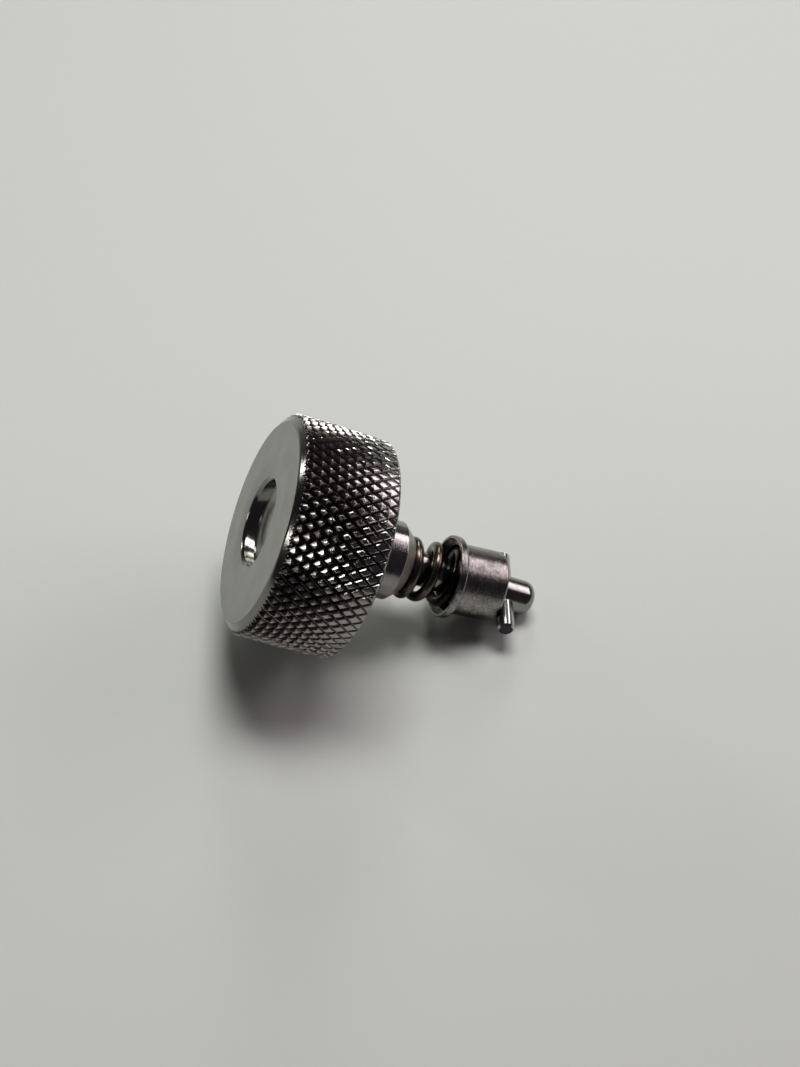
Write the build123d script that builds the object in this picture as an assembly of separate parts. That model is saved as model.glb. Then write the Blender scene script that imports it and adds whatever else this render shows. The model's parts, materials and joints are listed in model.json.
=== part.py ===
from build123d import *
from math import acos, cos, pi, radians, sin, tan
import os

# Quarter turn stud: a knurled knob on a cross-pinned stud, with a sprung cup loose on the shank.
# Sizes are in millimetres. Each piece is drawn along the stud's axis, with Z = 0 on the knob's
# front face and +Z towards the tip, and the whole is then laid down as it rests on a table.

# Knob, turned and diamond knurled, which raises the knurl's crests above the turned blank
blank_radius = 12.0
crest_height = 0.2
knob_length = 10.9
front_chamfer_width = 1.2
front_chamfer_length = 0.84
back_chamfer = 0.22
recess_radius = 4.66
recess_depth = 1.4
recess_chamfer = 0.33

# Diamond knurl: the crests are nearly sharp at the front rim and blunt at the back rim
diamonds_round = 64
knurl_angle = 31.5
front_blunting = 0.03
back_blunting = 0.30
groove_fade = 2.2
groove_flank_angle = 45.0

# Stud, turned in one piece: spigot, collar with a coned end, shank and rounded tip
spigot_radius = 3.0
spigot_length = 6.5
collar_radius = 4.4
collar_length = 4.7
cone_length = 1.5
seat_radius = 3.1
shank_radius = 1.95
stud_reach = 32.85
tip_rounding = 1.2
edge_round = 0.15

# Cross pin, pressed through the stud
pin_radius = 1.0
pin_length = 10.4
pin_chamfer = 0.25
pin_to_tip = 3.4

# Spring, wound left-hand from round wire, with closed ends that are ground flat
wire_radius = 0.60
active_turns = 3.6
closed_turns = 0.7
closed_pitch = 0.70
tip_height = 0.12
tip_angle = 20.0
spring_lean = 3.0
points_per_turn = 16

# Cup, drawn from sheet, with a wider lip at its open end. It droops on the shank, mouth down,
# and its closed end heads partly up and partly along the cross pin.
cup_wall = 0.24
cup_length = 6.15
cup_corner = 0.35
lip_radius = 4.62
lip_length = 0.95
lip_wall = 0.33
lip_round = 0.3
rim_round = 0.12
cup_lean = 3.5
lean_heading = 48.0

# Clearances
pin_gap = 0.03
spring_shank_gap = 0.10
spring_side_gap = 0.10
spring_end_gap = 0.05
shank_gap = 0.10

# Knob's outside over the knurl's crests, and the flat of its front face
knob_radius = blank_radius + crest_height
face_radius = knob_radius - front_chamfer_width

# Places along the stud, from the knob's front face
collar_end = knob_length + collar_length
seat_z = collar_end + cone_length
pin_z = stud_reach - pin_to_tip

# The cup and the spring lean the same way, and their axes cross the stud's axis midway between
# the seat and the pin. The spring, tighter on the shank, leans less than the cup.
half_span = (pin_z - pin_radius - seat_z) / 2
cross_z = seat_z + half_span
cup_offset = half_span * tan(radians(cup_lean))
spring_offset = half_span * tan(radians(spring_lean))

# Radii, from the shank outwards
coil_radius = shank_radius + spring_offset + spring_shank_gap + wire_radius
cup_inner_radius = coil_radius + wire_radius + cup_offset - spring_offset + spring_side_gap
cup_radius = cup_inner_radius + cup_wall
cup_flat_radius = cup_radius - cup_corner
hole_radius = shank_radius + cup_offset + shank_gap

# Closed end of the cup and its floor, along the cup's own axis from the crossing
cup_end_z = pin_z - pin_radius - pin_gap - cup_flat_radius * sin(radians(cup_lean))
cup_end = (cup_end_z - cross_z) / cos(radians(cup_lean))
cup_floor = cup_end - cup_wall

# The knurl is cut beyond both rims, where the chamfers then trim it
half_diamond_angle = pi / diamonds_round
half_diamond_width = blank_radius * half_diamond_angle
half_diamond_length = half_diamond_width / tan(radians(knurl_angle))
crest_rise = half_diamond_width * cos(radians(knurl_angle)) * tan(radians(groove_flank_angle))
knurl_rows = int(knob_length / half_diamond_length) + 2
knurl_start = (knob_length - knurl_rows * half_diamond_length) / 2
chamfer_reach = 0.2

# Steps of the search for the resting tilt
tilt_halvings = 50


def turned(*points):
    """Solid of revolution about the stud's axis, from (radius, height) points."""
    return revolve(Plane.XZ * make_face(Polyline(*points, close=True)), Axis.Z)


def rounded_outline(*corners):
    """Outline of (radius, height) corners, where a third value makes that corner round."""
    outline = make_face(Polyline(*[corner[:2] for corner in corners], close=True))
    for radius, height, *rounding in corners:
        if rounding:
            vertex = outline.vertices().sort_by_distance(Vector(radius, height))[0]
            outline = fillet(vertex, *rounding)
    return outline


def groove_depth(z):
    """Depth of the knurl's grooves, nearly even at the front and fading towards the back rim."""
    share = min(max(z / knob_length, 0.0), 1.0)
    blunting = front_blunting + (back_blunting - front_blunting) * share ** groove_fade
    return crest_rise - blunting


def knurl_point(radius, column, row):
    """Point of the knurl's lattice, where columns and rows are half a diamond apart."""
    angle = column * half_diamond_angle
    z = knurl_start + row * half_diamond_length
    return Vector(radius * cos(angle), radius * sin(angle), z)


def valley(column, row):
    """Point where two grooves cross."""
    z = knurl_start + row * half_diamond_length
    return knurl_point(knob_radius - groove_depth(z), column, row)


def diamond_corners(column, row):
    """Corners of one diamond by direction: where grooves cross, and the crest flat's corner above."""
    z = knurl_start + row * half_diamond_length
    apex = knurl_point(knob_radius - groove_depth(z) + crest_rise, column, row)
    angle = column * half_diamond_angle
    outward = Vector(cos(angle), sin(angle), 0)
    corners = {}
    for side, (across, along) in {"left": (-1, 0), "up": (0, 1), "right": (1, 0), "down": (0, -1)}.items():
        if 0 <= row + along <= knurl_rows:
            low = valley(column + across, row + along)
            share = (apex.dot(outward) - knob_radius) / (apex.dot(outward) - low.dot(outward))
            corners[side] = (low, apex + (low - apex) * share)
    return corners


def knurled_bar():
    """Closed body whose side is the diamond knurl: each diamond has four flanks and a crest flat."""
    faces = []
    for row in range(knurl_rows + 1):
        rim = []
        for column in range(row % 2, 2 * diamonds_round, 2):
            corners = diamond_corners(column, row)
            sides = [side for side in ("left", "up", "right", "down") if side in corners]
            whole = len(sides) == 4
            if not whole and "down" in sides:
                sides = ["right", "down", "left"]
            faces.append(Face(Wire.make_polygon([corners[side][1] for side in sides])))
            following = sides[1:] + sides[:1] if whole else sides[1:]
            for first, second in zip(sides, following):
                flank = [corners[first][0], corners[first][1], corners[second][1], corners[second][0]]
                faces.append(Face(Wire.make_polygon(flank)))
            rim += [corners["left"][0], corners["left"][1], corners["right"][1]]
        if row in (0, knurl_rows):
            faces.append(Face(Wire.make_polygon(rim)))
    return Solid(Shell(faces))


def make_knob():
    """Knurled knob with chamfered rims, a shallow recess in front and the stud's bore behind."""
    outer = knob_radius + chamfer_reach
    front_slope = front_chamfer_length / front_chamfer_width
    envelope = turned(
        (0, recess_depth),
        (recess_radius, recess_depth),
        (recess_radius, recess_chamfer),
        (recess_radius + recess_chamfer, 0),
        (face_radius, 0),
        (outer, (outer - face_radius) * front_slope),
        (outer, knob_length - back_chamfer - chamfer_reach),
        (knob_radius - back_chamfer, knob_length),
        (spigot_radius, knob_length),
        (spigot_radius, knob_length - spigot_length),
        (0, knob_length - spigot_length),
    )
    return knurled_bar() & envelope


def make_stud():
    """Stud with its spigot, collar, shank, rounded tip and the hole for the cross pin."""
    outline = rounded_outline(
        (0, knob_length - spigot_length),
        (spigot_radius, knob_length - spigot_length),
        (spigot_radius, knob_length),
        (collar_radius, knob_length),
        (collar_radius, collar_end, edge_round),
        (seat_radius, seat_z, edge_round),
        (shank_radius, seat_z),
        (shank_radius, stud_reach, tip_rounding),
        (0, stud_reach),
    )
    stud = revolve(Plane.XZ * outline, Axis.Z)
    pin_hole = Pos(0, 0, pin_z) * Rot(90, 0, 0) * Cylinder(pin_radius, 3 * shank_radius)
    return stud - pin_hole


def make_cross_pin():
    """Chamfered pin across the stud, just past the cup."""
    pin = chamfer(Cylinder(pin_radius, pin_length).edges(), pin_chamfer)
    return Pos(0, 0, pin_z) * Rot(90, 0, 0) * pin


def leaning(piece, angle):
    """Leans a piece that is drawn about Z, with Z = 0 at the crossing, the way the cup leans."""
    lean = Rot(0, 0, lean_heading) * Rot(-angle, 0, 0) * Rot(0, 0, -lean_heading)
    return Pos(0, 0, cross_z) * lean * piece


def make_cup():
    """Thin cup, closed towards the pin, with a loose hole for the shank."""
    mouth = cup_end - cup_length
    shoulder = mouth + lip_length
    outline = rounded_outline(
        (hole_radius, cup_end),
        (cup_radius, cup_end, cup_corner),
        (cup_radius, shoulder, edge_round),
        (lip_radius, shoulder, lip_round),
        (lip_radius, mouth, rim_round),
        (lip_radius - lip_wall, mouth),
        (lip_radius - lip_wall, shoulder - cup_wall),
        (cup_inner_radius, shoulder - cup_wall),
        (cup_inner_radius, cup_floor),
        (hole_radius, cup_floor),
    )
    return leaning(revolve(Plane.XZ * outline, Axis.Z), cup_lean)


def coil_height(turn, length):
    """Height of the wire's centre above the seat, so many turns from its tip."""
    closed_rise = tip_height + closed_turns * closed_pitch
    if turn < closed_turns:
        return tip_height + turn * closed_pitch
    if turn > closed_turns + active_turns:
        return length - coil_height(2 * closed_turns + active_turns - turn, length)
    return closed_rise + (turn - closed_turns) * (length - 2 * closed_rise) / active_turns


def make_spring():
    """Compression spring whose ground ends lie flat on the collar's seat and the cup's floor."""
    start = (spring_end_gap - half_span) / cos(radians(spring_lean))
    end = (cup_floor - spring_end_gap) / cos(radians(cup_lean - spring_lean))
    turns = 2 * closed_turns + active_turns
    steps = round(turns * points_per_turn)
    points = []
    for step in range(steps + 1):
        turn = turns * step / steps
        angle = radians(tip_angle) - 2 * pi * turn
        height = start + coil_height(turn, end - start)
        points.append((coil_radius * cos(angle), coil_radius * sin(angle), height))
    path = Spline(*points)
    section = Plane(origin=path @ 0, z_dir=path % 0) * Circle(wire_radius)
    wire = leaning(sweep(section, path, is_frenet=True), spring_lean)
    above = (Align.CENTER, Align.CENTER, Align.MIN)
    below = (Align.CENTER, Align.CENTER, Align.MAX)
    past_seat = Pos(0, 0, seat_z + spring_end_gap) * Cylinder(lip_radius, stud_reach, align=above)
    short_of_floor = Pos(0, 0, cup_floor - spring_end_gap) * Cylinder(lip_radius, stud_reach, align=below)
    return wire & past_seat & leaning(short_of_floor, cup_lean)


def rest_tilt():
    """Angle of the stud's axis below level when the knob's back rim and the cup's corner touch."""
    lean, heading = radians(cup_lean), radians(lean_heading)
    cup_axis = Vector(-sin(lean) * sin(heading), sin(lean) * cos(heading), cos(lean))
    corner_centre = Vector(0, 0, cross_z) + cup_axis * (cup_end - cup_corner)
    back_rim = Vector(knob_radius, 0, knob_length - back_chamfer)
    low, high = 0, pi / 3
    for _ in range(tilt_halvings):
        tilt = (low + high) / 2
        down = Vector(cos(tilt), 0, sin(tilt))
        reach = corner_centre.dot(down) + cup_flat_radius * sin(acos(cup_axis.dot(down))) + cup_corner
        if back_rim.dot(down) > reach:
            low = tilt
        else:
            high = tilt
    return tilt


def laid_down(pieces):
    """Lays the pieces on the table, knob at -X, with the origin at the middle of the footprint."""
    tilt = rest_tilt()
    lying = Plane(origin=(0, 0, 0), x_dir=(-sin(tilt), 0, -cos(tilt)), z_dir=(cos(tilt), 0, -sin(tilt)))
    placed = {name: lying.location * piece for name, piece in pieces.items()}
    box = Compound(list(placed.values())).bounding_box()
    centre = box.center()
    return {name: Pos(-centre.X, -centre.Y, -box.min.Z) * piece for name, piece in placed.items()}


def main():
    pieces = laid_down(
        {
            "knob": make_knob(),
            "stud": make_stud(),
            "cross_pin": make_cross_pin(),
            "spring": make_spring(),
            "cup": make_cup(),
        }
    )
    os.makedirs("parts", exist_ok=True)
    for name, piece in pieces.items():
        export_step(piece, os.path.join("parts", name + ".step"))


main()
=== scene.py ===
import json
from collections import namedtuple
from math import cos, pi, radians, sin, tan

import bpy
import numpy as np
from mathutils import Matrix, Vector


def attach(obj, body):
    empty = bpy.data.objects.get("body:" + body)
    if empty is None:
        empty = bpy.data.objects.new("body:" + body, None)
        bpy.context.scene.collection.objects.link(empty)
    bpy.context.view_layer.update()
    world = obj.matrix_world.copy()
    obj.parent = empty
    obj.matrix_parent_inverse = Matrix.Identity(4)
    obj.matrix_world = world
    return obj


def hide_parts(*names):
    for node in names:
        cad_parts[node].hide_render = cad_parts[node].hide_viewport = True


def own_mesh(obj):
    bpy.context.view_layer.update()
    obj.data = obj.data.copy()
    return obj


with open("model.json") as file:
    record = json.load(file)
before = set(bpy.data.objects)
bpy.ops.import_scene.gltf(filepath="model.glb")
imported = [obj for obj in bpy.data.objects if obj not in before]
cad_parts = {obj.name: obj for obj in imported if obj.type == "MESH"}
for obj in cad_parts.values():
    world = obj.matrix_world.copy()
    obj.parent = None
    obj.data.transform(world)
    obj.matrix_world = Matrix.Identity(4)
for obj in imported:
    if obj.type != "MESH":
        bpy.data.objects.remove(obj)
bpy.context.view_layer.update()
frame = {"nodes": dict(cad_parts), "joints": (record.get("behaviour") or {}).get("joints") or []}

MM = 0.001
MICRON = 0.000001

# Knob, in millimetres, with heights from its front face
BLANK_RADIUS = 12.0
KNOB_RADIUS = 12.2
KNOB_LENGTH = 10.9
FACE_RADIUS = 11.0
FRONT_CHAMFER_LENGTH = 0.84
CHAMFER_SLOPE = (KNOB_RADIUS - FACE_RADIUS) / FRONT_CHAMFER_LENGTH
BACK_CHAMFER = 0.22
RECESS_RADIUS = 4.66
RECESS_DEPTH = 1.4
RECESS_CHAMFER = 0.33
SPIGOT_RADIUS = 3.0

# Diamond knurl, sharper at the front and blunter at the back, in millimetres and degrees
DIAMONDS_ROUND = 64
KNURL_ANGLE = 31.5
FRONT_BLUNTING = 0.03
BACK_BLUNTING = 0.30
GROOVE_FADE = 2.2
FLANK_STEEPENING = 0.8
TOP_DOME = 0.035
TOP_TILT = 0.006
SIZE_SPREAD = 0.035
CREST_BLEND = 0.02
KNURL_SEED = 7
ANGLE_STEP = pi / DIAMONDS_ROUND
HALF_WIDTH = BLANK_RADIUS * ANGLE_STEP
HALF_LENGTH = HALF_WIDTH / tan(radians(KNURL_ANGLE))
CREST_RISE = HALF_WIDTH * cos(radians(KNURL_ANGLE))
KNURL_ROWS = int(KNOB_LENGTH / HALF_LENGTH) + 2
KNURL_START = (KNOB_LENGTH - KNURL_ROWS * HALF_LENGTH) / 2

# Stud and cross pin, in millimetres, with heights from the knob's front face
CONE_START = 15.6
SEAT_Z = 17.1
PIN_END = 5.2

# Spring and cup, in millimetres and degrees. Both lean about the point at CROSSING_Z. That and
# CUP_MOUTH are heights from the knob's front face, and CUP_FLOOR is measured from CROSSING_Z
CROSSING_Z = 22.775
LEAN_HEADING = 48.0
SPRING_LEAN = 3.0
CUP_LEAN = 3.5
CUP_MOUTH = 22.065
CUP_INNER = 3.697
CUP_FLOOR = 5.196
WIRE_RADIUS = 0.58
COIL_RADIUS = 2.925
ACTIVE_TURNS = 3.6
CLOSED_TURNS = 0.7
CLOSED_PITCH = 0.70
TIP_HEIGHT = 0.12
TIP_ANGLE = 20.0
END_GAP = 0.05

# Fineness of the meshes: cells across half a diamond, and the wire's sides, steps and smoothing
CELLS = 7
WIRE_SIDES = 24
STEPS_PER_TURN = 40
SMOOTHING_PASSES = 3

# Rounded edges of the knob and the rings between them, in millimetres
EDGE = 0.03
FACE_MARGIN = 0.05
WALL_MARGIN = 0.04
CHAMFER_MARGIN = 0.04
FACE_RING = 8.0
RECESS_RING = 2.4
CENTRE_RING = 0.02

# The stud's own frame: X points down towards the table, Y along the cross pin, Z to the tip
turn_joint = next(joint for joint in frame["joints"] if joint["name"] == "cup_turn")
AXIS = Vector(turn_joint["axis"]).normalized()
ACROSS = Vector((0, 1, 0))
BELOW = ACROSS.cross(AXIS)
CROSSING = Vector(turn_joint["pos_m"])
FACE = CROSSING - AXIS * CROSSING_Z * MM
TO_STUD = Matrix.Translation(FACE) @ Matrix((BELOW, ACROSS, AXIS)).transposed().to_4x4()

# Camera, in the stud's frame
CAMERA_PLACE = (-122.546, -107.993, -44.709)
CAMERA_RIGHT = (-0.43695, -0.01480, 0.89936)
CAMERA_UP = (-0.57458, 0.77387, -0.26642)
CAMERA_LENS = 53.98
CAMERA_SENSOR = 36.0
CAMERA_NEAR = 0.005

# Lamps: name, azimuth, elevation, width and height in degrees, radiance, colour
LAMPS = (
    ("ceiling_lamp", 22, 67, 34, 17, 12.4, (0.99, 1.0, 0.97)),
    ("right_window", 68, 34, 43, 12, 4.9, (1.0, 0.89, 0.95)),
    ("back_lamp", 4, 30, 12, 20, 8.0, (0.97, 1.0, 0.90)),
    ("left_back_lamp", -52, 25, 6, 6, 16.0, (1.0, 1.0, 0.93)),
    ("left_lamp", -90, 22, 5, 5, 14.0, (1.0, 1.0, 0.93)),
)
ROOM_DARK = (0.036, 0.033, 0.038)
ROOM_GREY = (0.24, 0.25, 0.22)

# Half the width of the table, in metres
TABLE_HALF = 1.6


def add_camera():
    data = bpy.data.cameras.new("camera")
    data.lens = CAMERA_LENS
    data.sensor_width = CAMERA_SENSOR
    data.clip_start = CAMERA_NEAR
    camera = bpy.data.objects.new("camera", data)
    right, up = Vector(CAMERA_RIGHT), Vector(CAMERA_UP)
    turn = Matrix((right, up, right.cross(up))).transposed().to_4x4()
    camera.matrix_world = TO_STUD @ Matrix.Translation(Vector(CAMERA_PLACE) * MM) @ turn
    bpy.context.collection.objects.link(camera)
    bpy.context.scene.camera = camera


def direction(azimuth, elevation):
    """Unit vector, with the azimuth turned from +Y towards +X."""
    a, e = radians(azimuth), radians(elevation)
    return Vector((sin(a) * cos(e), cos(a) * cos(e), sin(e)))


def add_lamp(name, azimuth, elevation, wide, high, radiance, colour):
    """Soft lamp a metre away that spans wide by high degrees as the object sees it."""
    width, height = 2 * tan(radians(wide / 2)), 2 * tan(radians(high / 2))
    data = bpy.data.lights.new(name, "AREA")
    data.shape = "RECTANGLE"
    data.size = width
    data.size_y = height
    data.energy = radiance * pi * width * height
    data.color = colour
    lamp = bpy.data.objects.new(name, data)
    toward = direction(azimuth, elevation)
    lamp.location = toward
    lamp.rotation_euler = toward.to_track_quat("Z", "Y").to_euler()
    bpy.context.collection.objects.link(lamp)


class Shading:
    """Small helper around a node tree."""

    def __init__(self, tree):
        self.tree = tree

    def node(self, kind, **settings):
        node = self.tree.nodes.new(kind)
        for key, value in settings.items():
            setattr(node, key, value)
        return node

    def put(self, source, socket):
        """Links a socket, or sets a plain value."""
        if hasattr(source, "is_linked"):
            self.tree.links.new(source, socket)
        else:
            socket.default_value = source

    def parts(self, vector):
        """X, Y and Z of a vector."""
        node = self.node("ShaderNodeSeparateXYZ")
        self.put(vector, node.inputs[0])
        return node.outputs

    def math(self, operation, *values):
        node = self.node("ShaderNodeMath", operation=operation)
        for number, value in enumerate(values):
            self.put(value, node.inputs[number])
        return node.outputs[0]

    def blend(self, first, first_share, second, second_share):
        """Weighted sum of two values."""
        weighted = self.math("MULTIPLY", first, first_share), self.math("MULTIPLY", second, second_share)
        return self.math("ADD", *weighted)

    def span(self, value, low, high, to_low=0.0, to_high=1.0):
        """Smooth changeover from to_low to to_high as the value goes from low to high."""
        node = self.node("ShaderNodeMapRange", interpolation_type="SMOOTHSTEP")
        for name, number in (("From Min", low), ("From Max", high), ("To Min", to_low), ("To Max", to_high)):
            node.inputs[name].default_value = number
        self.put(value, node.inputs["Value"])
        return node.outputs["Result"]

    def mix(self, share, first, second):
        """Colour between two others."""
        node = self.node("ShaderNodeMix", data_type="RGBA")
        self.put(share, node.inputs[0])
        for colour, socket in ((first, node.inputs[6]), (second, node.inputs[7])):
            self.put(colour if hasattr(colour, "is_linked") else (*colour, 1), socket)
        return node.outputs[2]

    def noise(self, place, scale, detail, roughness, dimensions="3D"):
        node = self.node("ShaderNodeTexNoise", noise_dimensions=dimensions)
        self.put(place, node.inputs["W" if dimensions == "1D" else "Vector"])
        node.inputs["Scale"].default_value = scale
        node.inputs["Detail"].default_value = detail
        node.inputs["Roughness"].default_value = roughness
        return node.outputs["Fac"]


Place = namedtuple("Place", "whole x y z radius")


class Material(Shading):
    """Material of one surface, built from its place in a piece's own frame."""

    def __init__(self, name):
        self.data = bpy.data.materials.new(name)
        self.data.use_nodes = True
        super().__init__(self.data.node_tree)
        self.shader = self.tree.nodes["Principled BSDF"]

    def place(self, own_frame=TO_STUD):
        """Place in a piece's own frame, in millimetres, with its parts and the distance from the axis."""
        mapping = self.node("ShaderNodeMapping", vector_type="TEXTURE")
        mapping.inputs["Location"].default_value = own_frame.translation
        mapping.inputs["Rotation"].default_value = own_frame.to_euler()
        mapping.inputs["Scale"].default_value = (MM, MM, MM)
        self.put(self.node("ShaderNodeTexCoord").outputs["Object"], mapping.inputs["Vector"])
        whole = mapping.outputs["Vector"]
        x, y, z = self.parts(whole)
        squares = self.math("ADD", self.math("MULTIPLY", x, x), self.math("MULTIPLY", y, y))
        return Place(whole, x, y, z, self.math("SQRT", squares))

    def bump(self, height, distance, before=None):
        node = self.node("ShaderNodeBump")
        node.inputs["Distance"].default_value = distance
        self.put(height, node.inputs["Height"])
        if before is not None:
            self.put(before, node.inputs["Normal"])
        return node.outputs["Normal"]

    def finish(self, colour, roughness, normal, metallic=1.0):
        self.shader.inputs["Metallic"].default_value = metallic
        self.put(colour, self.shader.inputs["Base Color"])
        self.put(roughness, self.shader.inputs["Roughness"])
        self.put(normal, self.shader.inputs["Normal"])
        return self.data


def add_world():
    """Dark room, with a grey band low on its far side."""
    world = bpy.data.worlds.new("room")
    bpy.context.scene.world = world
    world.use_nodes = True
    world.node_tree.nodes.clear()
    shade = Shading(world.node_tree)
    _, y, z = shade.parts(shade.node("ShaderNodeTexCoord").outputs["Generated"])
    band = shade.math("MULTIPLY", shade.span(y, 0.2, 0.95), shade.span(z, 0.45, 0.0))
    back = shade.node("ShaderNodeBackground")
    shade.put(shade.mix(band, ROOM_DARK, ROOM_GREY), back.inputs["Color"])
    shade.put(back.outputs[0], shade.node("ShaderNodeOutputWorld").inputs[0])


def turned_steel(name, dark, light, smooth, rough):
    """Turned steel: rings from the tool, clouded tone and a fine grain."""
    shade = Material(name)
    at = shade.place()
    rings = shade.noise(shade.math("ADD", at.z, at.radius), 9.0, 4.0, 0.6, "1D")
    cloud = shade.noise(at.whole, 0.9, 4.0, 0.6)
    grain = shade.noise(at.whole, 14.0, 3.0, 0.6)
    tone = shade.blend(shade.math("ADD", cloud, grain), 0.25, rings, 0.5)
    colour = shade.mix(shade.span(tone, 0.3, 0.7), dark, light)
    roughness = shade.span(shade.blend(rings, 0.5, grain, 0.5), 0.3, 0.7, smooth, rough)
    return shade.finish(colour, roughness, shade.bump(grain, 3 * MICRON, shade.bump(rings, 4 * MICRON)))


def stud_steel():
    """Smooth turned stud, duller on the cone, with a lighter brown painted on it as a reflection of the
    table.
    """
    shade = Material("stud_steel")
    at = shade.place()
    rings = shade.noise(shade.math("ADD", at.z, at.radius), 9.0, 4.0, 0.6, "1D")
    cloud = shade.noise(at.whole, 0.9, 4.0, 0.6)
    grain = shade.noise(at.whole, 12.0, 4.0, 0.65)
    past_start = shade.span(at.z, CONE_START - 0.05, CONE_START + 0.05)
    before_seat = shade.span(at.z, SEAT_Z - 0.05, SEAT_Z + 0.02, 1.0, 0.0)
    cone = shade.math("MULTIPLY", past_start, before_seat)
    tone = shade.blend(cloud, 0.6, grain, 0.4)
    smooth = shade.mix(shade.span(tone, 0.35, 0.65), (0.22, 0.21, 0.205), (0.33, 0.318, 0.305))
    # Painted reflection: the cone's lighter brown stands in for the table it reflects; its added roughness
    # is real
    colour = shade.mix(cone, smooth, (0.42, 0.385, 0.345))
    polish = shade.span(shade.blend(rings, 0.5, grain, 0.5), 0.3, 0.7, 0.09, 0.21)
    roughness = shade.blend(polish, 1.0, cone, 0.28)
    return shade.finish(colour, roughness, shade.bump(grain, 4 * MICRON, shade.bump(rings, 4 * MICRON)))


def satin_face_steel():
    """Flat faces: even satin with faint turning rings, a fine grain and dark specks."""
    shade = Material("face_steel")
    at = shade.place()
    rings = shade.noise(at.radius, 12.0, 3.0, 0.6, "1D")
    cloud = shade.noise(at.whole, 0.35, 4.0, 0.6)
    grain = shade.noise(at.whole, 22.0, 4.0, 0.65)
    specks = shade.span(shade.noise(at.whole, 4.3, 2.0, 0.5), 0.66, 0.72)
    base = shade.mix(shade.span(cloud, 0.3, 0.7), (0.29, 0.29, 0.272), (0.34, 0.34, 0.322))
    colour = shade.mix(shade.math("MULTIPLY", specks, 0.55), base, (0.17, 0.165, 0.15))
    roughness = shade.span(shade.blend(grain, 0.6, rings, 0.4), 0.3, 0.7, 0.30, 0.42)
    return shade.finish(colour, roughness, shade.bump(grain, 6 * MICRON, shade.bump(rings, 3 * MICRON)))


def knurl_steel():
    """Knurled side: bright on the crests, duller down in the grooves, where painted shade makes them dark.
    """
    shade = Material("knurl_steel")
    at = shade.place()
    height = shade.span(at.radius, KNOB_RADIUS - 0.34, KNOB_RADIUS - 0.03)
    cloud = shade.noise(at.whole, 0.55, 3.0, 0.6)
    grain = shade.noise(at.whole, 9.0, 4.0, 0.65)
    # Painted shade: the colour darkens to near black down in the grooves
    painted_groove_shade = shade.mix(cloud, (0.034, 0.027, 0.025), (0.070, 0.057, 0.052))
    crest = shade.mix(grain, (0.28, 0.26, 0.25), (0.46, 0.44, 0.43))
    # Fine burnished lines along one set of grooves, broken here and there; their lighter colour is partly a
    # painted highlight along the groove edges
    column = shade.math("DIVIDE", shade.math("ARCTAN2", at.y, at.x), ANGLE_STEP)
    row = shade.math("DIVIDE", shade.math("SUBTRACT", at.z, KNURL_START), HALF_LENGTH)
    groove = shade.math("PINGPONG", shade.math("SUBTRACT", column, row), 1.0)
    here_and_there = shade.span(cloud, 0.42, 0.58, 0.0, 0.8)
    burnish_and_glint = shade.math("MULTIPLY", shade.span(groove, 0.90, 0.97), here_and_there)
    colour = shade.mix(burnish_and_glint, shade.mix(height, painted_groove_shade, crest), (0.60, 0.57, 0.55))
    roughness = shade.span(shade.blend(grain, 1.0, height, -0.35), 0.1, 0.65, 0.10, 0.30)
    return shade.finish(colour, roughness, shade.bump(grain, 12 * MICRON))


def spring_steel():
    """Dark wire with brown tints, with painted shade turning it black underneath and inside the cup."""
    shade = Material("spring_steel")
    at = shade.place()
    cloud = shade.noise(at.whole, 1.1, 4.0, 0.6)
    grain = shade.noise(at.whole, 11.0, 4.0, 0.6)
    clean = shade.mix(cloud, (0.045, 0.036, 0.030), (0.16, 0.130, 0.107))
    # Painted shade: the wire is darkened to black on its underside and inside the cup
    underneath = shade.span(shade.blend(at.x, 1.0, cloud, 1.5), 0.6, 2.6)
    in_cup = shade.span(at.z, CUP_MOUTH - 1.3, CUP_MOUTH - 0.2)
    painted_shade = shade.math("MAXIMUM", underneath, in_cup)
    colour = shade.mix(shade.math("MULTIPLY", painted_shade, 0.93), clean, (0.010, 0.009, 0.008))
    return shade.finish(colour, shade.span(grain, 0.3, 0.7, 0.14, 0.30), shade.bump(grain, 6 * MICRON))


def cup_steel():
    """Drawn sheet: mottled steel with pink and green tints, with painted shade turning it black inside."""
    shade = Material("cup_steel")
    at_crossing = TO_STUD @ Matrix.Translation((0, 0, CROSSING_Z * MM))
    at = shade.place(at_crossing @ lean_matrix(CUP_LEAN).to_4x4())
    cloud = shade.noise(at.whole, 0.8, 4.0, 0.6)
    tint = shade.noise(at.whole, 0.45, 2.0, 0.5)
    grain = shade.noise(at.whole, 5.5, 5.0, 0.7)
    lines = shade.noise(at.z, 7.0, 4.0, 0.6, "1D")
    steel = shade.mix(shade.span(tint, 0.38, 0.62), (0.235, 0.205, 0.210), (0.215, 0.215, 0.190))
    worn = shade.mix(shade.span(grain, 0.45, 0.60), steel, (0.38, 0.36, 0.345))
    dulled = shade.math("MULTIPLY", shade.span(cloud, 0.45, 0.65), 0.6)
    outside = shade.mix(dulled, worn, (0.10, 0.093, 0.082))
    # Painted shade: the inside of the cup is darkened to near black; it is also made a little rougher
    past_rim = shade.span(at.z, CUP_MOUTH - CROSSING_Z + 0.1, CUP_MOUTH - CROSSING_Z + 0.7)
    within_wall = shade.span(at.radius, CUP_INNER + 0.06, CUP_INNER + 0.12, 1.0, 0.0)
    inside = shade.math("MULTIPLY", within_wall, past_rim)
    colour = shade.mix(shade.math("MULTIPLY", inside, 0.9), outside, (0.012, 0.010, 0.009))
    polish = shade.span(shade.blend(grain, 0.6, lines, 0.4), 0.3, 0.7, 0.10, 0.28)
    roughness = shade.blend(polish, 1.0, inside, 0.2)
    return shade.finish(colour, roughness, shade.bump(grain, 22 * MICRON, shade.bump(lines, 4 * MICRON)))


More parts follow.
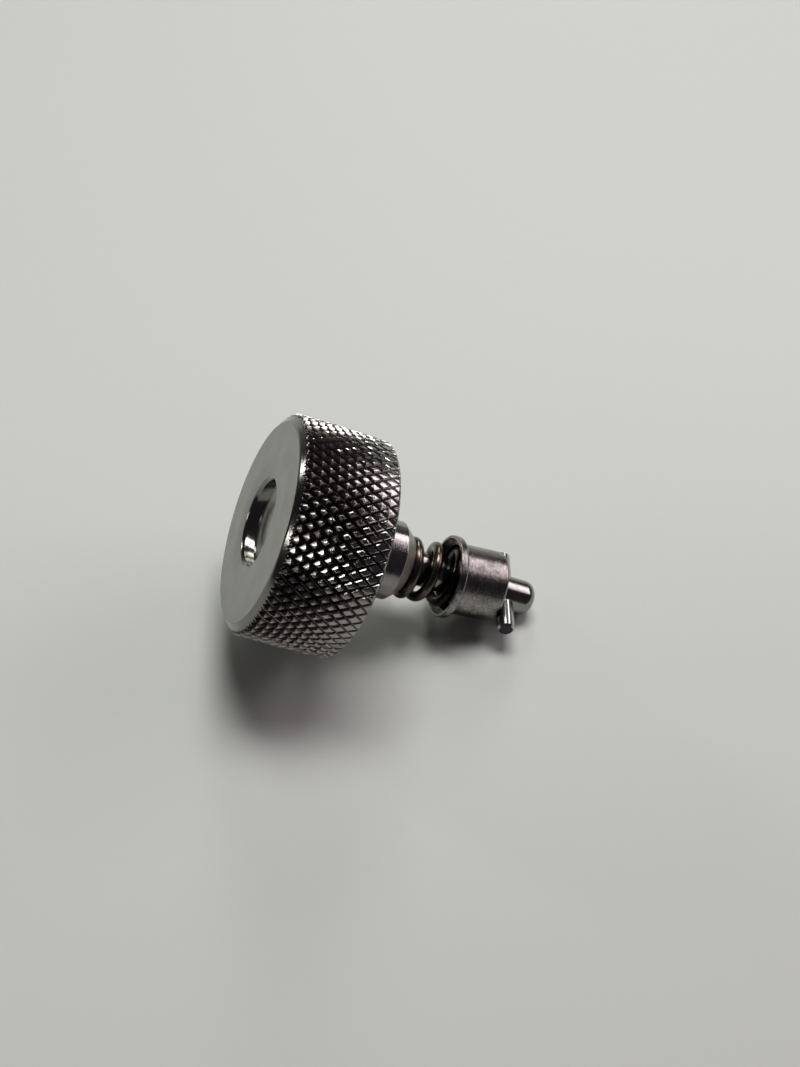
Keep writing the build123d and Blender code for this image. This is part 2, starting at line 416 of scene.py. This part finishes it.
def pin_steel():
    """Bright ground pin, with end faces rough where it was cut off and painted dark as shade."""
    shade = Material("pin_steel")
    at = shade.place()
    lines = shade.noise(at.y, 14.0, 3.0, 0.6, "1D")
    grain = shade.noise(at.whole, 18.0, 3.0, 0.6)
    side = shade.mix(grain, (0.39, 0.385, 0.38), (0.51, 0.505, 0.50))
    # Painted shade: the end faces are given a near-black colour
    end = shade.mix(grain, (0.030, 0.028, 0.031), (0.055, 0.051, 0.056))
    on_end = shade.span(shade.math("ABSOLUTE", at.y), PIN_END - 0.04, PIN_END - 0.01)
    colour = shade.mix(on_end, side, end)
    roughness = shade.blend(shade.span(lines, 0.3, 0.7, 0.12, 0.22), 1.0, on_end, 0.25)
    return shade.finish(colour, roughness, shade.bump(grain, 3 * MICRON))


def table_material():
    """Pale table with a barely visible mottle, and painted shade making it a little darker far off and near
    the camera.
    """
    shade = Material("pale_table")
    place = shade.node("ShaderNodeTexCoord").outputs["Object"]
    x, y, _ = shade.parts(place)
    cloud = shade.noise(place, 6.0, 4.0, 0.55)
    grain = shade.noise(place, 420.0, 2.0, 0.6)
    tone = shade.span(shade.blend(cloud, 0.8, grain, 0.2), 0.35, 0.65)
    mottle = shade.mix(tone, (0.635, 0.646, 0.616), (0.650, 0.656, 0.630))
    # Painted shade: the table darkens far off, and more so towards the near right
    far = shade.mix(shade.span(y, 0.0, 0.20), mottle, (0.575, 0.588, 0.560))
    near_right = shade.math("MULTIPLY", shade.span(y, 0.05, -0.10), shade.span(x, -0.06, 0.08, 0.55, 1.0))
    colour = shade.mix(near_right, far, (0.495, 0.495, 0.480))
    shade.shader.inputs["Specular IOR Level"].default_value = 0.2
    return shade.finish(colour, 0.6, shade.bump(grain, 20 * MICRON), metallic=0.0)


def add_table():
    half = TABLE_HALF
    corners = [(-half, -half, 0), (half, -half, 0), (half, half, 0), (-half, half, 0)]
    mesh = bpy.data.meshes.new("table")
    mesh.from_pydata(corners, [], [(0, 1, 2, 3)])
    table = bpy.data.objects.new("table", mesh)
    mesh.materials.append(table_material())
    bpy.context.collection.objects.link(table)


def in_place(points):
    """Points of the stud's frame, in millimetres, to metres of the part's frame."""
    turn = np.array(TO_STUD.to_3x3())
    return points * MM @ turn.T + np.array(TO_STUD.translation)


def add_piece(name, points, faces, materials, material_of_face, smooth, body, node):
    """Mesh that takes a CAD node's place and rides its body."""
    mesh = bpy.data.meshes.new(name)
    mesh.from_pydata(in_place(points).tolist(), [], faces)
    for material in materials:
        mesh.materials.append(material)
    mesh.polygons.foreach_set("material_index", material_of_face)
    mesh.polygons.foreach_set("use_smooth", smooth)
    mesh.update()
    piece = bpy.data.objects.new(name, mesh)
    bpy.context.collection.objects.link(piece)
    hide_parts(node)
    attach(piece, body)
    return piece


# Places of the knob's materials in its list
KNURLED, CHAMFERED, SATIN, PAINTED_LIGHT_FLOOR = range(4)

# Rings of the knob's front, from the middle of the recess outwards, and of its back, from the edge
# inwards: radius, height and the material of the band that follows
FRONT_RINGS = (
    (CENTRE_RING, RECESS_DEPTH, PAINTED_LIGHT_FLOOR),
    (RECESS_RING, RECESS_DEPTH, PAINTED_LIGHT_FLOOR),
    (RECESS_RADIUS - 2 * EDGE, RECESS_DEPTH, CHAMFERED),
    (RECESS_RADIUS, RECESS_DEPTH - 2 * EDGE, CHAMFERED),
    (RECESS_RADIUS, RECESS_CHAMFER + WALL_MARGIN, CHAMFERED),
    (RECESS_RADIUS + EDGE, RECESS_CHAMFER - EDGE, CHAMFERED),
    (RECESS_RADIUS + RECESS_CHAMFER - EDGE, EDGE, CHAMFERED),
    (RECESS_RADIUS + RECESS_CHAMFER + EDGE, 0.0, SATIN),
    (FACE_RING, 0.0, SATIN),
    (FACE_RADIUS - FACE_MARGIN, 0.0, SATIN),
)
BACK_RINGS = (
    (KNOB_RADIUS - BACK_CHAMFER - FACE_MARGIN, KNOB_LENGTH, SATIN),
    (FACE_RING, KNOB_LENGTH, SATIN),
    (SPIGOT_RADIUS, KNOB_LENGTH, SATIN),
)


def soft_min(a, b, blend):
    """Smaller of two heights, with a rounded changeover as wide as blend."""
    share = np.clip(0.5 + 0.5 * (b - a) / blend, 0, 1)
    return b * (1 - share) + a * share - blend * share * (1 - share)


def knurl_heights(angle, z, rng):
    """Radius of the knurled side over a grid of angles and heights.

    Grooves run where the column and row add up, or differ, to an odd number. Towards the back
    their flanks are steeper and the diamonds keep larger, slightly domed tops.
    """
    column, row = angle / ANGLE_STEP, (z - KNURL_START) / HALF_LENGTH
    first = (column + row + 1) % 2 - 1
    second = (column - row + 1) % 2 - 1
    share = np.clip(z / KNOB_LENGTH, 0, 1)
    blunting = FRONT_BLUNTING + (BACK_BLUNTING - FRONT_BLUNTING) * share**GROOVE_FADE
    depth = CREST_RISE - blunting
    off_groove = np.minimum(1 - np.abs(first), 1 - np.abs(second))
    flank = CREST_RISE * (1 + FLANK_STEEPENING * share**2) * off_groove
    diamond_a = np.floor((column + row + 1) / 2).astype(int) % DIAMONDS_ROUND
    diamond_b = np.floor((column - row + 1) / 2).astype(int) % DIAMONDS_ROUND
    size, tilt_a, tilt_b = rng.normal(0, 1, (3, DIAMONDS_ROUND, DIAMONDS_ROUND))[:, diamond_a, diamond_b]
    top = depth * (1 + SIZE_SPREAD * size) + TOP_TILT * (tilt_a * first + tilt_b * second)
    top = top - TOP_DOME * (1 - off_groove) ** 2
    return KNOB_RADIUS - depth + soft_min(flank, top, CREST_BLEND)


def knurled_side(angles, heights):
    """Radii of the knob's side from face to back, with both chamfers cut."""
    angle, z = np.meshgrid(angles, heights)
    radius = knurl_heights(angle, z, np.random.default_rng(KNURL_SEED))
    radius = soft_min(radius, FACE_RADIUS + z * CHAMFER_SLOPE, EDGE)
    radius[0] = FACE_RADIUS
    return soft_min(radius, KNOB_RADIUS - BACK_CHAMFER + (KNOB_LENGTH - z), EDGE)


def knob_triangles(angles, middle_z):
    """Triangles of the bands between the rings, cut along the grooves."""
    around = len(angles)
    ring, column = np.meshgrid(np.arange(len(middle_z)), np.arange(around), indexing="ij")
    here = ring * around + column
    beside = ring * around + (column + 1) % around
    above, across = here + around, beside + around
    a = (angles[None, :] + ANGLE_STEP / CELLS / 2) / ANGLE_STEP
    b = (middle_z - KNURL_START) / HALF_LENGTH
    rising = (np.abs((a + b) % 2 - 1) > np.abs((a - b) % 2 - 1))[..., None]
    first = np.where(rising, np.stack([here, across, beside], -1), np.stack([here, above, beside], -1))
    second = np.where(rising, np.stack([here, above, across], -1), np.stack([beside, above, across], -1))
    return np.concatenate([first.reshape(-1, 3), second.reshape(-1, 3)])


def knob_material_of_cell(radii, middle_z, bands):
    """Material of each cell: that of its band, or the turned one where a chamfer cuts the knurl."""
    material = np.repeat(np.array(bands)[:, None], radii.shape[1], axis=1)
    mean_radius = (radii[:-1] + radii[1:]) / 2
    cone = FACE_RADIUS + middle_z * CHAMFER_SLOPE
    on_front = (mean_radius > cone - CHAMFER_MARGIN) & (middle_z < FRONT_CHAMFER_LENGTH)
    on_back = middle_z > KNOB_LENGTH - BACK_CHAMFER
    material[(on_front | on_back) & (material == KNURLED)] = CHAMFERED
    return material.reshape(-1)


def knob_piece():
    """Knob with its diamond knurl, chamfers, recess and flat faces, as one skin of rings."""
    angles = np.arange(2 * DIAMONDS_ROUND * CELLS) * ANGLE_STEP / CELLS
    heights = KNURL_START + np.arange(KNURL_ROWS * CELLS + 1) * HALF_LENGTH / CELLS
    heights = heights[(heights > EDGE) & (heights < KNOB_LENGTH - EDGE)]
    heights = np.concatenate([[0.0], heights, [KNOB_LENGTH]])
    plain = np.ones(len(angles))
    front_radii, front_z, front_bands = zip(*FRONT_RINGS)
    back_radii, back_z, back_bands = zip(*BACK_RINGS)
    front = [radius * plain for radius in front_radii]
    back = [radius * plain for radius in back_radii]
    radii = np.array(front + list(knurled_side(angles, heights)) + back)
    z = np.array([*front_z, *heights, *back_z])
    bands = [*front_bands, *[KNURLED] * len(heights), *back_bands[:-1]]
    middle_z = (z[:-1] + z[1:])[:, None] / 2

    points = np.empty((len(z), len(angles), 3))
    points[..., 0] = radii * np.cos(angles)
    points[..., 1] = radii * np.sin(angles)
    points[..., 2] = z[:, None]
    faces = knob_triangles(angles, middle_z).tolist()
    material_of_face = np.tile(knob_material_of_cell(radii, middle_z, bands), 2)
    materials = (
        knurl_steel(),
        turned_steel("chamfer_steel", (0.17, 0.164, 0.155), (0.24, 0.232, 0.22), 0.09, 0.17),
        satin_face_steel(),
        # Painted light: the recess floor is the same steel given a much lighter colour, standing in for
        # light in the shaded recess
        turned_steel("recess_steel", (0.55, 0.545, 0.51), (0.68, 0.675, 0.64), 0.16, 0.28),
    )
    smooth = material_of_face != KNURLED
    points = points.reshape(-1, 3)
    return add_piece(
        "knurled_knob", points, faces, materials, material_of_face, smooth, "stud_body", "knob"
    )


def coil_height(turn, length):
    """Height of the wire's centre above the seat, so many turns from its tip."""
    closed_rise = TIP_HEIGHT + CLOSED_TURNS * CLOSED_PITCH
    if turn < CLOSED_TURNS:
        return TIP_HEIGHT + turn * CLOSED_PITCH
    if turn > CLOSED_TURNS + ACTIVE_TURNS:
        return length - coil_height(2 * CLOSED_TURNS + ACTIVE_TURNS - turn, length)
    return closed_rise + (turn - CLOSED_TURNS) * (length - 2 * closed_rise) / ACTIVE_TURNS


def lean_matrix(angle):
    """Turn that leans a piece's axis towards the heading of the lean."""
    heading = Matrix.Rotation(radians(LEAN_HEADING), 3, "Z")
    return heading @ Matrix.Rotation(-radians(angle), 3, "X") @ heading.inverted()


def wire_path():
    """Angles and points along the middle of the wire, before the spring leans."""
    start = (END_GAP - (CROSSING_Z - SEAT_Z)) / cos(radians(SPRING_LEAN))
    end = (CUP_FLOOR - END_GAP) / cos(radians(CUP_LEAN - SPRING_LEAN))
    turns = 2 * CLOSED_TURNS + ACTIVE_TURNS
    turn = np.linspace(0, turns, int(turns * STEPS_PER_TURN) + 1)
    angle = radians(TIP_ANGLE) - 2 * pi * turn
    height = start + np.array([coil_height(t, end - start) for t in turn])
    # The kinks where the closed turns end are smoothed out
    for _ in range(SMOOTHING_PASSES):
        height[1:-1] = (height[:-2] + 2 * height[1:-1] + height[2:]) / 4
    return angle, np.stack([COIL_RADIUS * np.cos(angle), COIL_RADIUS * np.sin(angle), height], -1)


def wire_rings(angle, path):
    """Ring of points round the wire at each step of its path."""
    along = np.gradient(path, axis=0)
    along /= np.linalg.norm(along, axis=1)[:, None]
    outward = np.stack([np.cos(angle), np.sin(angle), 0 * angle], -1)
    upward = np.cross(along, outward)
    upward /= np.linalg.norm(upward, axis=1)[:, None]
    outward = np.cross(upward, along)
    turn = (np.arange(WIRE_SIDES) * 2 * pi / WIRE_SIDES)[:, None]
    return path[:, None] + WIRE_RADIUS * (outward[:, None] * np.cos(turn) + upward[:, None] * np.sin(turn))


def ground_flat(points):
    """Spring's points at their lean, with its ends ground flat on the seat and on the cup's floor."""
    points = points @ np.array(lean_matrix(SPRING_LEAN)).T
    points[:, 2] += CROSSING_Z
    points[:, 2] = np.maximum(points[:, 2], SEAT_Z + END_GAP)
    cup_axis = np.array(lean_matrix(CUP_LEAN)) @ np.array([0, 0, 1.0])
    reach = (points - [0, 0, CROSSING_Z]) @ cup_axis
    over = np.maximum(reach - (CUP_FLOOR - END_GAP), 0)
    return points - over[:, None] * cup_axis


def wire_faces(rings):
    """Sides of the wire between its rings, with a face on each end."""
    faces = []
    for step in range(rings - 1):
        for side in range(WIRE_SIDES):
            following = (side + 1) % WIRE_SIDES
            a, b = step * WIRE_SIDES + side, step * WIRE_SIDES + following
            faces.append((a, b, b + WIRE_SIDES, a + WIRE_SIDES))
    faces.append(tuple(range(WIRE_SIDES))[::-1])
    faces.append(tuple(range((rings - 1) * WIRE_SIDES, rings * WIRE_SIDES)))
    return faces


def spring_piece():
    """Compression spring that follows the cup when it is pushed in."""
    angle, path = wire_path()
    points = ground_flat(wire_rings(angle, path).reshape(-1, 3))
    faces = wire_faces(len(path))
    plain = np.zeros(len(faces), dtype=int)
    smooth = np.ones(len(faces), dtype=bool)
    materials = (spring_steel(),)
    piece = add_piece(
        "coil_spring", points, faces, materials, plain, smooth, "spring_body", "spring"
    )
    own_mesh(piece)
    return piece


def dress(node, material):
    """Gives a CAD node its material."""
    data = frame["nodes"][node].data
    data.materials.clear()
    data.materials.append(material)


add_camera()
for lamp in LAMPS:
    add_lamp(*lamp)
add_world()
add_table()
knob_piece()
spring_piece()
dress("stud", stud_steel())
dress("cross_pin", pin_steel())
dress("cup", cup_steel())

bpy.context.scene.view_settings.view_transform = "Standard"
